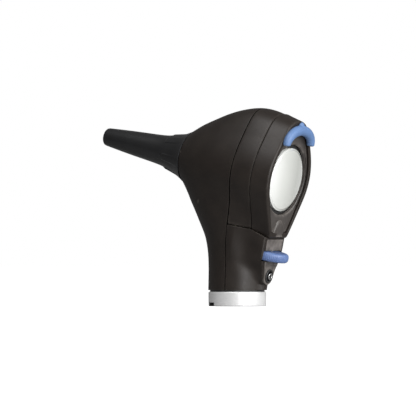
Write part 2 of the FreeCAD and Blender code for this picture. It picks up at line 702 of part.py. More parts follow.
def latch_spring():
    """Leaf that holds the eyepiece module down on the neck."""
    start, end, low, thick, wide = 9.0, 16.0, -25.4, 0.5, 1.8
    top = low + thick
    profile = [(start, low), (end, low), (end, top), (14.6, top), (13.6, top + 1.3), (12.6, top),
               (start, top)]
    corners = [Vector(u, -6.5, w) for u, w in profile]
    return to_row(Part.Face(Part.makePolygon(corners + corners[:1])).extrude(Vector(0, wide, 0)))


def frame_screws():
    """Two long screws that tie the rod frames together."""
    head_r, head_thick, slot_wide = 1.4, 0.9, 0.4
    length = REAR_FRAME_U + FRAME_THICK - FRONT_FRAME_U
    screws = []
    for side in (-1, 1):
        start = Vector(FRONT_FRAME_U, side * TIE_V, TIE_W)
        head_start = start + Vector(length, 0, 0)
        slot_corner = head_start + Vector(0.5, -1.0, -slot_wide / 2)
        shank = Part.makeCylinder(TIE_R, length, start, Vector(1, 0, 0))
        head = Part.makeCylinder(head_r, head_thick, head_start, Vector(1, 0, 0))
        slot = Part.makeBox(head_thick, 2.0, slot_wide, slot_corner)
        screws.append(shank.fuse(head).cut(slot).removeSplitter())
    return to_row(Part.makeCompound(screws))


def front_rod_frame():
    return rod_frame(FRONT_FRAME_U, FRAME_THICK, 0.2)


def rear_rod_frame():
    return rod_frame(REAR_FRAME_U, FRAME_THICK, 0.2)


NODES = {
    "front_casing": front_casing, "rear_neck_casing": rear_neck_casing, "spine_plate": spine_plate,
    "port_plate": port_plate,
    "middle_band": middle_band, "eyepiece_casing": eyepiece_casing, "rear_panel": rear_panel,
    "thumb_pad": thumb_pad, "lens_cell": lens_cell, "lens_retainer": lens_retainer,
    "viewing_lens": viewing_lens, "lens_seal": lens_seal, "brow_rest": brow_rest,
    "focus_wheel": focus_wheel, "crank_pin": crank_pin, "focus_axle": focus_axle,
    "focus_carriage": focus_carriage, "objective_lens": objective_lens, "objective_clip": objective_clip,
    "guide_rods": guide_rods, "speculum": speculum, "speculum_seat": speculum_seat,
    "light_sleeve": light_sleeve, "fibre_bundle": fibre_bundle, "nose_ring": nose_ring,
    "lamp_housing": lamp_housing, "lamp_shell": lamp_shell, "lamp_bulb": lamp_bulb,
    "lamp_filament": lamp_filament, "lamp_insulator": lamp_insulator, "lamp_contact": lamp_contact,
    "collar_ring": collar_ring, "collar_washer": collar_washer, "port_bezel": port_bezel,
    "port_nipple": port_nipple, "air_tube": air_tube, "latch_spring": latch_spring,
    "frame_screws": frame_screws, "front_rod_frame": front_rod_frame, "rear_rod_frame": rear_rod_frame,
}

for node, make in NODES.items():
    make().exportStep("parts/" + node + ".step")
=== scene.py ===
import json
import math
import bmesh
import bpy
import numpy as np
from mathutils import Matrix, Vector


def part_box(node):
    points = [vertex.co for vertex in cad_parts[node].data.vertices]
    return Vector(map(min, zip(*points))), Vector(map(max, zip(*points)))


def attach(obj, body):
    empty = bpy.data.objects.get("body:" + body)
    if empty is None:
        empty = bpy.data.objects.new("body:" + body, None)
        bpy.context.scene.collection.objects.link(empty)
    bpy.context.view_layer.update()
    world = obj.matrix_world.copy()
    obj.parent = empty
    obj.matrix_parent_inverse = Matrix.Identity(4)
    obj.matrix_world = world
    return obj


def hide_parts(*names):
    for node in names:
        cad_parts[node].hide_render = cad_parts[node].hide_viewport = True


# Otoscope head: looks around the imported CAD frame. Lengths below are in millimetres and are
# turned into metres when a mesh is made.
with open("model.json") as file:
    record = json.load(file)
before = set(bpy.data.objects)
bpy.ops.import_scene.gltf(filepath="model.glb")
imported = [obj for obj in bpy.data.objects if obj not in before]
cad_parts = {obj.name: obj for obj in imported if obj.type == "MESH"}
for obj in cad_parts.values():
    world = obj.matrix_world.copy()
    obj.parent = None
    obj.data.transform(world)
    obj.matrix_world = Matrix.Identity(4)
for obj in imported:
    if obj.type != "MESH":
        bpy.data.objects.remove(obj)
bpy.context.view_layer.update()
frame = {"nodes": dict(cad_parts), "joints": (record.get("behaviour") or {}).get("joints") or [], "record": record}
joints = {joint["name"]: joint for joint in frame["joints"]}
MM = 0.001

# --------------------------------------------------
# Frames: the row frame is the CAD's own; the optic frame has u along the optical axis towards
# the viewing lens, v along row Y, and w square to both, upwards.
U = np.array(joints["focus_slide"]["axis"])
V = np.array([0.0, 1.0, 0.0])
W = np.array(joints["focus_turn"]["axis"])


def node_centre(node):
    low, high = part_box(node)
    return np.array((low + high) / 2) / MM


lens_centre = node_centre("viewing_lens")
ORIGIN = lens_centre - U * (lens_centre[0] / U[0])


def to_row(points):
    """Optic-frame points (N, 3) in row millimetres."""
    points = np.asarray(points, float)
    return ORIGIN + points[..., 0:1] * U + points[..., 1:2] * V + points[..., 2:3] * W


def to_optic(points):
    local = np.asarray(points, float) - ORIGIN
    return np.stack([local @ U, local @ V, local @ W], axis=-1)


def span(node, axis):
    """Lowest and highest optic coordinate of a CAD node: axis 0, 1 or 2 is u, v or w."""
    mesh = frame["nodes"][node].data
    points = np.zeros(len(mesh.vertices) * 3)
    mesh.vertices.foreach_get("co", points)
    values = to_optic(points.reshape(-1, 3) / MM)[:, axis]
    return values.min(), values.max()


def half_span(node, axis):
    """Half of a CAD node's extent along an optic axis."""
    low, high = span(node, axis)
    return (high - low) / 2


# Stations and sizes read from the CAD nodes
NOSE_U = span("front_casing", 0)[0]
SEAM_U, BAND_END = span("middle_band", 0)
BAND_START, REAR_U = span("eyepiece_casing", 0)
BAND_U = (BAND_END + BAND_START) / 2
SEAM = BAND_START - BAND_END  # gap between neighbouring bands
FRONT_END = SEAM_U - SEAM
PANEL_U = span("rear_panel", 0)[1]
SPINE_U = span("spine_plate", 0)[1]
BREAK_W = span("middle_band", 2)[0]
BREAK_LOW = span("eyepiece_casing", 2)[0]
CASE_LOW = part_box("front_casing")[0].z / MM
RING_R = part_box("collar_ring")[1].x / MM
RING_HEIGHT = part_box("collar_ring")[1].z / MM
LENS_R = half_span("viewing_lens", 1)
CELL_END = span("lens_cell", 0)[1]
OPENING_GAP = 0.04  # between the lens retainer and the panel's opening
OPENING_R = half_span("lens_retainer", 1) + OPENING_GAP
WHEEL_CENTRE = to_optic([np.array(joints["focus_turn"]["pos_m"]) / MM])[0]
WHEEL_W = WHEEL_CENTRE[2]
WHEEL_HALF = half_span("focus_wheel", 2)
WHEEL_R = half_span("focus_wheel", 1)
PORT_W = (span("port_bezel", 2)[1] + span("port_bezel", 2)[0]) / 2
PORT_R = half_span("port_bezel", 1)

# Sizes chosen here
WALL = 1.6
PANEL_THICK = 1.5
PANEL_INSET = 2.42  # from the module's outer form to the panel's rim
SOCKET_R = 10.4  # the collar's bore for a handle
MERGE = 1e-6  # metres; points closer than this count as one
FAR_W = 60.0  # a w beyond the whole form, above or below
SIDE = np.array([0.0, 1.0, 0.0])  # row Y, which is also v

# --------------------------------------------------
# Form of the casing, as fields that are negative inside

# Half of the egg outline of the rear panel, as fractions of half-width and of half-height.
EGG = [(0.0, 1.0), (0.42, 0.90), (0.72, 0.60), (0.93, 0.30), (1.0, 0.0), (0.955, -0.16),
       (0.85, -0.31), (0.62, -0.57), (0.40, -0.80), (0.20, -0.95), (0.0, -1.0)]
# Head sections: u, top, bottom, half-width, share of the egg outline.
HEAD = np.array([(NOSE_U, 11.5, 10.9, 11.2, 0.0), (-18.8, 15.2, 16.1, 13.5, 0.1),
                 (-13.3, 18.9, 22.5, 15.6, 0.3), (-7.3, 22.6, 28.6, 17.3, 0.5),
                 (0.0, 26.0, 31.0, 18.6, 0.8), (7.3, 28.0, 32.0, 19.4, 1.0),
                 (13.0, 28.1, 32.0, 19.6, 1.0), (19.5, 27.1, 31.8, 19.3, 1.0),
                 (REAR_U, 26.1, 31.5, 18.6, 1.0)])
# Neck sections: height, front, side and rear half-axes.
NECK = np.array([(7.0, 12.6, 12.6, 12.6), (14.0, 12.5, 12.4, 12.6), (21.0, 12.7, 12.1, 12.6),
                 (28.7, 13.8, 12.7, 13.4), (37.7, 16.6, 14.4, 14.6), (46.0, 19.6, 14.4, 13.6)])
# Keel behind the neck: w, half-width at the spine face.
KEEL = np.array([(-46.5, 1.4), (-43.5, 4.0), (-40.3, 5.4), (-36.2, 7.5), (-33.5, 8.3), (-23.0, 8.4)])
KEEL_DEPTH = 16.0  # how far the keel reaches forwards from the spine face
KEEL_TOP = -20.0
KEEL_FLARE = 0.28  # how fast it widens forwards, as a slope
FLARE_REACH = 14.0
NECK_TOP = 50.0  # height where the neck's own form ends inside the head
# Finger hollow on each side: row X, distance from the XZ plane and height, then its half-axes.
HOLLOW_CENTRE = (11.6, 15.2, 23.5)
HOLLOW_SIZE = (6.0, 5.6, 9.5)
# Widths over which forms blend into each other.
NECK_END_BLEND = 4.0
NECK_BLEND = 5.0
KEEL_BLEND = 2.2
KEEL_END_BLEND = 2.0
HOLLOW_BLEND = 3.0
SPINE_EDGE = 0.9
MODULE_EDGE = 0.7


def spline(xs, ys):
    """Natural cubic spline through the points, flat beyond its ends."""
    xs, ys = np.asarray(xs, float), np.asarray(ys, float)
    n = len(xs)
    gap = np.diff(xs)
    slope = np.diff(ys) / gap
    system = np.eye(n)
    right = np.zeros(n)
    for i in range(1, n - 1):
        system[i, i - 1:i + 2] = gap[i - 1], 2 * (gap[i - 1] + gap[i]), gap[i]
        right[i] = 6 * (slope[i] - slope[i - 1])
    bend = np.linalg.solve(system, right)

    def value(x):
        x = np.clip(x, xs[0], xs[-1])
        i = np.clip(np.searchsorted(xs, x) - 1, 0, n - 2)
        h = gap[i]
        a, b = (xs[i + 1] - x) / h, (x - xs[i]) / h
        cubic = ((a ** 3 - a) * bend[i] + (b ** 3 - b) * bend[i + 1]) * h * h / 6
        return a * ys[i] + b * ys[i + 1] + cubic
    return value


def egg_radius():
    """Radius of the unit egg outline against the angle from straight up."""
    angles = np.array([math.atan2(v, w) for v, w in EGG])
    radii = np.array([math.hypot(v, w) for v, w in EGG])
    around = np.concatenate([-angles[3:0:-1], angles, 2 * math.pi - angles[-2:-5:-1]])
    lengths = np.concatenate([radii[3:0:-1], radii, radii[-2:-5:-1]])
    return spline(around, lengths)


EGG_RADIUS = egg_radius()
TOP, BOTTOM, HALF, SHARE = [spline(HEAD[:, 0], HEAD[:, i]) for i in (1, 2, 3, 4)]
NECK_FRONT, NECK_SIDE, NECK_REAR = [spline(NECK[:, 0], NECK[:, i]) for i in (1, 2, 3)]
KEEL_HALF = spline(KEEL[:, 0], KEEL[:, 1])


def soft_min(a, b, k):
    """Lower of two fields, blended over the width k."""
    mix = np.clip(0.5 + 0.5 * (b - a) / k, 0, 1)
    return b + (a - b) * mix - k * mix * (1 - mix)


def soft_max(a, b, k):
    return -soft_min(-a, -b, k)


def head_field(p):
    """Head about the optical axis, its outline changing from round to the egg along u."""
    u, v, w = p[..., 0], np.abs(p[..., 1]), p[..., 2]
    tall = np.where(w > 0, TOP(u), BOTTOM(u))
    across, up = v / HALF(u), w / tall
    reach = np.hypot(across, up) + 1e-9
    edge = 1 + SHARE(u) * (EGG_RADIUS(np.arctan2(across, up)) - 1)
    return (reach - edge) * (np.hypot(v, w) + 1e-9) / reach


def neck_field(row):
    """Upright neck about the row's Z axis."""
    x, y, z = row[..., 0], row[..., 1], row[..., 2]
    along = np.where(x > 0, NECK_REAR(z), NECK_FRONT(z))
    reach = np.hypot(x / along, y / NECK_SIDE(z)) + 1e-9
    round_part = (reach - 1) * (np.hypot(x, y) + 1e-9) / reach
    return soft_max(round_part, z - NECK_TOP, NECK_END_BLEND)


def keel_field(p):
    """Keel behind the neck, widening forwards from the flat spine face."""
    u, v, w = p[..., 0], np.abs(p[..., 1]), p[..., 2]
    flare = KEEL_FLARE * np.clip(SPINE_U - u, 0, FLARE_REACH)
    block = soft_max(v - (KEEL_HALF(w) + flare), u - SPINE_U, SPINE_EDGE)
    below_top = soft_max(block, w - KEEL_TOP, KEEL_END_BLEND)
    return soft_max(below_top, SPINE_U - KEEL_DEPTH - u, KEEL_END_BLEND)


def upper_form(p, row):
    """Head blended into the neck."""
    return soft_min(head_field(p), neck_field(row), NECK_BLEND)


def envelope(p):
    """Outer form of head, neck and spine, with soft blends and a finger hollow on each side."""
    row = to_row(p)
    body = soft_min(upper_form(p, row), keel_field(p), KEEL_BLEND)
    place = (row[..., 0], np.abs(row[..., 1]), row[..., 2])
    parts = [(here - middle) / size for here, middle, size in zip(place, HOLLOW_CENTRE, HOLLOW_SIZE)]
    ball = (np.sqrt(sum(part ** 2 for part in parts)) - 1) * HOLLOW_SIZE[1]
    return soft_max(body, -ball, HOLLOW_BLEND)


def break_height(u):
    """Underside of the eyepiece module."""
    return np.interp(u, [BAND_U, SPINE_U], [BREAK_W, BREAK_LOW])


def module_field(p):
    """Upper form, cut off flat along the module's underside."""
    return soft_max(upper_form(p, to_row(p)), break_height(p[..., 0]) - p[..., 2], MODULE_EDGE)


def ray_hit(field, start, way, far=45.0, halvings=26):
    """Distance along each ray from inside the field to its surface."""
    near = np.zeros(start.shape[:-1])
    beyond = np.full(start.shape[:-1], far)
    for _ in range(halvings):
        middle = (near + beyond) / 2
        inside = field(start + way * middle[..., None]) < 0
        near = np.where(inside, middle, near)
        beyond = np.where(inside, beyond, middle)
    return (near + beyond) / 2


# --------------------------------------------------
# Mesh helpers

def make_piece(name, points, faces, body, slot, nodes=()):
    """Mesh object from row-frame millimetre points; rides on a body and stands for CAD nodes."""
    mesh = bpy.data.meshes.new(name)
    mesh.from_pydata([tuple(p) for p in np.asarray(points) * MM], [], faces)
    mesh.validate()
    edit = bmesh.new()
    edit.from_mesh(mesh)
    bmesh.ops.remove_doubles(edit, verts=edit.verts, dist=MERGE)
    bmesh.ops.recalc_face_normals(edit, faces=edit.faces)
    edit.to_mesh(mesh)
    edit.free()
    piece = bpy.data.objects.new(name, mesh)
    bpy.context.scene.collection.objects.link(piece)
    sharpen(piece)
    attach(piece, body)
    if nodes:
        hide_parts(*nodes)
    piece.data.materials.append(material(slot))
    return piece


def sharpen(piece, angle=38.0):
    """Smooth shading that breaks at real edges."""
    mesh = piece.data
    mesh.polygons.foreach_set("use_smooth", [True] * len(mesh.polygons))
    mesh.set_sharp_from_angle(angle=math.radians(angle))


def grid_faces(rows, columns, wrap_rows=False, wrap_columns=False):
    """Quads of a rows x columns grid of points."""
    faces = []
    for i in range(rows if wrap_rows else rows - 1):
        for j in range(columns if wrap_columns else columns - 1):
            a, b = i * columns, ((i + 1) % rows) * columns
            k = (j + 1) % columns
            faces.append((a + j, a + k, b + k, b + j))
    return faces


def slab_faces(rows, columns):
    """Closed skin over two matching grids of points, listed one after the other."""
    each = rows * columns
    faces = grid_faces(rows, columns)
    faces += [tuple(each + k for k in face)[::-1] for face in faces]
    rim = list(range(columns)) + [i * columns + columns - 1 for i in range(1, rows)]
    rim += [(rows - 1) * columns + j for j in range(columns - 2, -1, -1)]
    rim += [i * columns for i in range(rows - 2, 0, -1)]
    return faces + [(a, b, each + b, each + a) for a, b in zip(rim, rim[1:] + rim[:1])]


def apply_modifiers(piece):
    """Bakes a piece's modifiers into its mesh."""
    bpy.context.view_layer.update()
    view = piece.evaluated_get(bpy.context.evaluated_depsgraph_get())
    mesh = bpy.data.meshes.new_from_object(view)
    piece.modifiers.clear()
    piece.data = mesh
    sharpen(piece)


def bevel(piece, width, angle=40.0, segments=2):
    edge = piece.modifiers.new("edge", "BEVEL")
    edge.width = width * MM
    edge.segments = segments
    edge.limit_method = "ANGLE"
    edge.angle_limit = math.radians(angle)


def cut(piece, cutter):
    """Takes the cutter's volume out of the piece, then removes the cutter."""
    knife = piece.modifiers.new("cut", "BOOLEAN")
    knife.operation = "DIFFERENCE"
    knife.solver = "EXACT"
    knife.object = cutter
    apply_modifiers(piece)
    bpy.data.objects.remove(cutter)


def loose_solid(points, faces):
    """Plain closed mesh object used only as a cutter."""
    mesh = bpy.data.meshes.new("cutter")
    mesh.from_pydata([tuple(p) for p in np.asarray(points) * MM], [], faces)
    edit = bmesh.new()
    edit.from_mesh(mesh)
    bmesh.ops.recalc_face_normals(edit, faces=edit.faces)
    edit.to_mesh(mesh)
    edit.free()
    cutter = bpy.data.objects.new("cutter", mesh)
    bpy.context.scene.collection.objects.link(cutter)
    return cutter


def prism(outline, start, end, axis):
    """Prism of an optic-frame (a, b) outline; axis 0 runs it along u, axis 2 along w."""
    points = []
    for level in (start, end):
        for a, b in outline:
            points.append((level, a, b) if axis == 0 else (a, b, level))
    n = len(outline)
    faces = [(i, (i + 1) % n, n + (i + 1) % n, n + i) for i in range(n)]
    faces += [tuple(range(n))[::-1], tuple(range(n, 2 * n))]
    return to_row(points), faces


def circle(radius, centre, count=64):
    angles = np.linspace(0, 2 * math.pi, count, endpoint=False)
    return [(centre[0] + radius * math.cos(a), centre[1] + radius * math.sin(a)) for a in angles]


def rounded(corners, radius=0.25, steps=3, most=0.45):
    """Closed (a, b) outline with a short curve at every corner, using at most that share of an edge.

    A corner's third number, where it has one, is its own size of curve.
    """
    out = []
    n = len(corners)
    for i in range(n):
        before, here, after = [np.array(corners[(i + k) % n], float) for k in (-1, 0, 1)]
        size = corners[i][2] if len(corners[i]) > 2 else radius
        before, here, after = before[:2], here[:2], after[:2]
        back, ahead = before - here, after - here
        size = min(size, most * np.linalg.norm(back), most * np.linalg.norm(ahead))
        start = here + back / np.linalg.norm(back) * size
        end = here + ahead / np.linalg.norm(ahead) * size
        for step in range(steps + 1):
            t = step / steps
            out.append(tuple((1 - t) ** 2 * start + 2 * t * (1 - t) * here + t * t * end))
    return out


def lathe(name, profile, body, slot, nodes=(), count=160, ripple=None, axis="optic", centre=(0, 0)):
    """Turned piece from a closed (along, radius) profile.

    It is turned about a parallel to u ("optic") or to w ("wheel"), or about row Z ("row").
    """
    angles = np.linspace(0, 2 * math.pi, count, endpoint=False)
    along = np.array([p[0] for p in profile])[:, None] + 0 * angles[None, :]
    radius = np.array([p[1] for p in profile])[:, None] + 0 * angles[None, :]
    if ripple is not None:
        radius = radius + ripple(along, radius, angles[None, :] + 0 * along)
    side, up = radius * np.sin(angles), radius * np.cos(angles)
    if axis == "optic":
        points = to_row(np.stack([along, side + centre[0], up + centre[1]], axis=-1))
    elif axis == "wheel":
        points = to_row(np.stack([up + centre[0], side, along], axis=-1))
    else:
        points = np.stack([up, side, along], axis=-1)
    faces = grid_faces(len(profile), count, wrap_rows=True, wrap_columns=True)
    return make_piece(name, points.reshape(-1, 3), faces, body, slot, nodes)


# --------------------------------------------------
# Materials. Every one is procedural, in object coordinates, so grain stays at its true scale.

ROUND_Z = (1, 1, 40)  # draws tool marks out into rings round Z


def shader(name, rough, metallic=0.0, coat=0.0):
    """New node material with a principled shader; returns it, its node tree and the shader node."""
    made = bpy.data.materials.new(name)
    made.use_nodes = True
    tree = made.node_tree
    principled = tree.nodes["Principled BSDF"]
    principled.inputs["Roughness"].default_value = rough
    principled.inputs["Metallic"].default_value = metallic
    principled.inputs["Coat Weight"].default_value = coat
    return made, tree, principled


def coordinates(tree, stretch=(1, 1, 1)):
    """Object coordinates, scaled along each axis."""
    where = tree.nodes.new("ShaderNodeTexCoord")
    mapping = tree.nodes.new("ShaderNodeMapping")
    mapping.inputs["Scale"].default_value = stretch
    tree.links.new(where.outputs["Object"], mapping.inputs["Vector"])
    return mapping.outputs["Vector"]


def noise(tree, vector, size, detail=3.0):
    """Noise whose blotches are about size millimetres wide."""
    texture = tree.nodes.new("ShaderNodeTexNoise")
    texture.inputs["Scale"].default_value = 1 / (size * MM)
    texture.inputs["Detail"].default_value = detail
    tree.links.new(vector, texture.inputs["Vector"])
    return texture.outputs["Fac"]


def ramp(tree, value, stops):
    """Maps a value through (position, grey or colour) stops."""
    node = tree.nodes.new("ShaderNodeValToRGB")
    while len(node.color_ramp.elements) < len(stops):
        node.color_ramp.elements.new(1.0)
    for element, (position, tone) in zip(node.color_ramp.elements, stops):
        colour = tone if isinstance(tone, tuple) else (tone, tone, tone)
        element.position = position
        element.color = (*colour, 1)
    tree.links.new(value, node.inputs["Fac"])
    return node.outputs["Color"]


def spread(tree, value, low, high):
    """Maps noise, which mostly lies between 0.3 and 0.7, to tones between low and high."""
    return ramp(tree, value, [(0.3, low), (0.7, high)])


def mix_colour(tree, share, first, second):
    """Mix of two colours; each of the three values may be a number, a colour or a node's output."""
    node = tree.nodes.new("ShaderNodeMix")
    node.data_type = "RGBA"
    for name, value in (("Factor", share), ("A", first), ("B", second)):
        socket = node.inputs[name]
        if isinstance(value, bpy.types.NodeSocket):
            tree.links.new(value, socket)
        else:
            socket.default_value = value if isinstance(value, float) else (*value, 1)
    return node.outputs["Result"]


def bump(tree, principled, height, depth, strength=0.6):
    """Bump of about depth millimetres from a height value."""
    node = tree.nodes.new("ShaderNodeBump")
    node.inputs["Distance"].default_value = depth * MM
    node.inputs["Strength"].default_value = strength
    tree.links.new(height, node.inputs["Height"])
    tree.links.new(node.outputs["Normal"], principled.inputs["Normal"])


def painted_edge_highlight(tree):
    """Mask for a painted highlight on convex edges, broken up so that it looks uneven."""
    shape = tree.nodes.new("ShaderNodeNewGeometry")
    edge = ramp(tree, shape.outputs["Pointiness"], [(0.51, 0.0), (0.60, 1.0)])
    patches = ramp(tree, noise(tree, coordinates(tree), 3.0), [(0.35, 0.25), (0.65, 1.0)])
    product = tree.nodes.new("ShaderNodeMath")
    product.operation = "MULTIPLY"
    tree.links.new(edge, product.inputs[0])
    tree.links.new(patches, product.inputs[1])
    return product.outputs[0]


def moulded(name, dark, light, edge_highlight_colour, rough, grain=0.22, depth=0.02, gloss=0.5):
    """Moulded plastic or rubber: two close tones, fine grain and a painted highlight on convex edges."""
    made, tree, principled = shader(name, rough)
    principled.inputs["Specular IOR Level"].default_value = gloss
    vector = coordinates(tree)
    tones = spread(tree, noise(tree, vector, 7.0, 5.0), dark, light)
    # Convex edges get a lighter colour: a painted highlight.
    colour = mix_colour(tree, painted_edge_highlight(tree), tones, edge_highlight_colour)
    tree.links.new(colour, principled.inputs["Base Color"])
    fine = noise(tree, vector, grain, 2.0)
    tree.links.new(spread(tree, fine, rough - 0.06, rough + 0.08), principled.inputs["Roughness"])
    bump(tree, principled, fine, depth)
    return made


def metal(name, colour, rough, stretch, grain=0.5, depth=0.006):
    """Turned or brushed metal: tool marks run square to the stretched axis."""
    made, tree, principled = shader(name, rough, metallic=1.0)
    marks = noise(tree, coordinates(tree, stretch), grain, 4.0)
    shade = tuple(0.86 * part for part in colour)
    tree.links.new(spread(tree, marks, shade, colour), principled.inputs["Base Color"])
    tree.links.new(spread(tree, marks, rough - 0.05, rough + 0.07), principled.inputs["Roughness"])
    bump(tree, principled, marks, depth, 0.4)
    return made


def ring_metal():
    """Bright satin metal outside; the socket and the notches inside it are painted near black as shade."""
    painted_shade_to, bright_from = 0.955, 0.965  # shares of the ring's radius
    made, tree, principled = shader("ring_metal", 0.34, metallic=0.35)
    marks = noise(tree, coordinates(tree, ROUND_Z), 2.0, 4.0)
    bright = spread(tree, marks, 0.62, 0.78)
    radius = tree.nodes.new("ShaderNodeVectorMath")
    radius.operation = "LENGTH"
    per_radius = 1 / (RING_R * MM)
    tree.links.new(coordinates(tree, (per_radius, per_radius, 0)), radius.inputs[0])
    # Painted shade: faces inside the socket, notches and tracks get a near-black base colour.
    outside = ramp(tree, radius.outputs["Value"], [(painted_shade_to, 0.0), (bright_from, 1.0)])
    tree.links.new(mix_colour(tree, outside, (0.02, 0.02, 0.02), bright), principled.inputs["Base Color"])
    bump(tree, principled, marks, 0.01, 0.4)
    return made


def lens_painted_reflection():
    """Silvery coated magnifier with a painted reflection in its colour: palest at one side, greyest three quarters
    of the way across.
    """
    made, tree, principled = shader("lens_glass", 0.06, metallic=0.25, coat=1.0)
    where = tree.nodes.new("ShaderNodeTexCoord")
    split = tree.nodes.new("ShaderNodeSeparateXYZ")
    tree.links.new(where.outputs["Object"], split.inputs["Vector"])
    place = tree.nodes.new("ShaderNodeMapRange")
    place.inputs["From Min"].default_value = -LENS_R * MM
    place.inputs["From Max"].default_value = LENS_R * MM
    tree.links.new(split.outputs["Y"], place.inputs["Value"])
    # Painted reflection: a pale-to-grey band across the lens stands in for the bright surroundings mirrored in it.
    tone = ramp(tree, place.outputs["Result"],
                [(0.0, (0.86, 0.87, 0.85)), (0.35, (0.66, 0.67, 0.64)), (0.75, (0.50, 0.51, 0.48)),
                 (1.0, (0.62, 0.63, 0.61))])
    tree.links.new(tone, principled.inputs["Base Color"])
    haze = noise(tree, coordinates(tree), 4.0, 4.0)
    tree.links.new(spread(tree, haze, 0.05, 0.16), principled.inputs["Roughness"])
    return made


def clear_glass():
    """Clear lamp glass with faint smudges."""
    made, tree, principled = shader("clear_glass", 0.03)
    principled.inputs["Transmission Weight"].default_value = 1.0
    smudge = noise(tree, coordinates(tree), 2.0, 4.0)
    tree.links.new(ramp(tree, smudge, [(0.4, 0.02), (0.8, 0.10)]), principled.inputs["Roughness"])
    tree.links.new(ramp(tree, smudge, [(0.0, (0.86, 0.88, 0.88)), (1.0, (0.95, 0.95, 0.94))]),
                   principled.inputs["Base Color"])
    return made


def fibre():
    """Bonded glass fibres: pale amber with a fine speckle."""
    made, tree, principled = shader("fibre", 0.35, coat=0.4)
    speckle = noise(tree, coordinates(tree), 0.12, 1.0)
    tree.links.new(ramp(tree, speckle, [(0.35, (0.30, 0.26, 0.17)), (0.65, (0.72, 0.66, 0.50))]),
                   principled.inputs["Base Color"])
    bump(tree, principled, speckle, 0.02)
    return made


# Maker of each material slot. Moulded ones take dark and light colours, the colour of a painted highlight on
# convex edges, and a roughness.
MAKERS = {
    "casing": lambda: moulded("casing", (0.0125, 0.0092, 0.0074), (0.0180, 0.0138, 0.0112),
                              (0.085, 0.075, 0.066), 0.46, grain=0.45, depth=0.05, gloss=0.28),
    "panel": lambda: moulded("panel", (0.036, 0.031, 0.028), (0.048, 0.042, 0.038),
                             (0.14, 0.125, 0.115), 0.46),
    "black_plastic": lambda: moulded("black_plastic", (0.007, 0.007, 0.007), (0.012, 0.012, 0.012),
                                     (0.05, 0.05, 0.05), 0.5),
    "lens_glass": lens_painted_reflection,
    "lamp_glass": clear_glass,
    "seal_rubber": lambda: moulded("seal_rubber", (0.010, 0.010, 0.010), (0.016, 0.016, 0.016),
                                   (0.03, 0.03, 0.03), 0.62, depth=0.04),
    "blue_rubber": lambda: moulded("blue_rubber", (0.075, 0.138, 0.285), (0.094, 0.170, 0.335),
                                   (0.17, 0.27, 0.45), 0.55, grain=0.35, depth=0.04),
    "blue_plastic": lambda: moulded("blue_plastic", (0.060, 0.100, 0.240), (0.100, 0.160, 0.330),
                                    (0.19, 0.26, 0.43), 0.45, grain=0.8, depth=0.08),
    "carriage_metal": lambda: metal("carriage_metal", (0.07, 0.07, 0.075), 0.38, (1, 1, 12)),
    "steel": lambda: metal("steel", (0.66, 0.66, 0.65), 0.24, (30, 1, 1)),
    "speculum_plastic": lambda: moulded("speculum_plastic", (0.0060, 0.0060, 0.0065),
                                        (0.0095, 0.0095, 0.0102), (0.05, 0.05, 0.055), 0.34, grain=0.3,
                                        depth=0.008),
    "seat_metal": lambda: metal("seat_metal", (0.45, 0.45, 0.46), 0.3, (30, 1, 1)),
    "fibre": fibre,
    "lamp_metal": lambda: metal("lamp_metal", (0.62, 0.62, 0.63), 0.3, ROUND_Z),
    "brass": lambda: metal("brass", (0.74, 0.53, 0.22), 0.28, ROUND_Z),
    "ring_metal": ring_metal,
}
MADE = {}


def material(slot):
    """The slot's material, made once."""
    if slot not in MADE:
        MADE[slot] = MAKERS[slot]()
    return MADE[slot]


# --------------------------------------------------
# Eyepiece module: bands swept round the egg outline

MODULE_CENTRE = 2.0  # w of the point that the module's outlines are swept about


def swept_band(name, profile, nodes, count=360):
    """Closed (u, inset) loop carried round the module's outline."""
    angles = np.linspace(0, 2 * math.pi, count, endpoint=False)
    loop = np.array([point[:2] for point in profile])
    u = loop[:, 0][:, None] + 0 * angles[None, :]
    inset = loop[:, 1][:, None]
    start = np.stack([u, 0 * u, 0 * u + MODULE_CENTRE], axis=-1)
    way = np.stack([0 * u, np.sin(angles) + 0 * u, np.cos(angles) + 0 * u], axis=-1)
    reach = ray_hit(lambda p: module_field(p) + inset, start, way)
    points = to_row(start + way * reach[..., None])
    faces = grid_faces(len(loop), count, wrap_rows=True, wrap_columns=True)
    return make_piece(name, points.reshape(-1, 3), faces, "eyepiece", "casing", nodes)


def with_steps(loop, step=1.0):
    """Adds points to the long sides of a closed (a, b) loop."""
    out = []
    for first, second in zip(loop, loop[1:] + loop[:1]):
        first, second = np.array(first[:2]), np.array(second[:2])
        count = max(1, int(np.linalg.norm(second - first) / step))
        out += [tuple(first + (second - first) * i / count) for i in range(count)]
    return out


def make_middle_band():
    corners = [(SEAM_U, WALL), (SEAM_U, 0.0, 0.5), (BAND_END, 0.0, 0.5), (BAND_END, WALL)]
    return swept_band("middle_band_shell", with_steps(rounded(corners)), ["middle_band"])


def make_eyepiece_casing():
    """Rear band with a full rounded lip round the sunken panel."""
    proud = -0.4  # inset of the front edge: below zero, it stands out
    lip_inset, lip_round, edge = 2.3, 1.5, 0.5
    ledge_inset, ledge_thick = 2.9, 1.2
    panel_back = PANEL_U - PANEL_THICK
    ledge_front = panel_back - ledge_thick
    corners = [(BAND_START, WALL), (BAND_START, proud, edge), (REAR_U, 0.0, lip_round),
               (REAR_U, lip_inset, edge), (panel_back, lip_inset), (panel_back, ledge_inset),
               (ledge_front, ledge_inset), (ledge_front, WALL)]
    return swept_band("eyepiece_casing_shell", with_steps(rounded(corners, steps=6)), ["eyepiece_casing"])


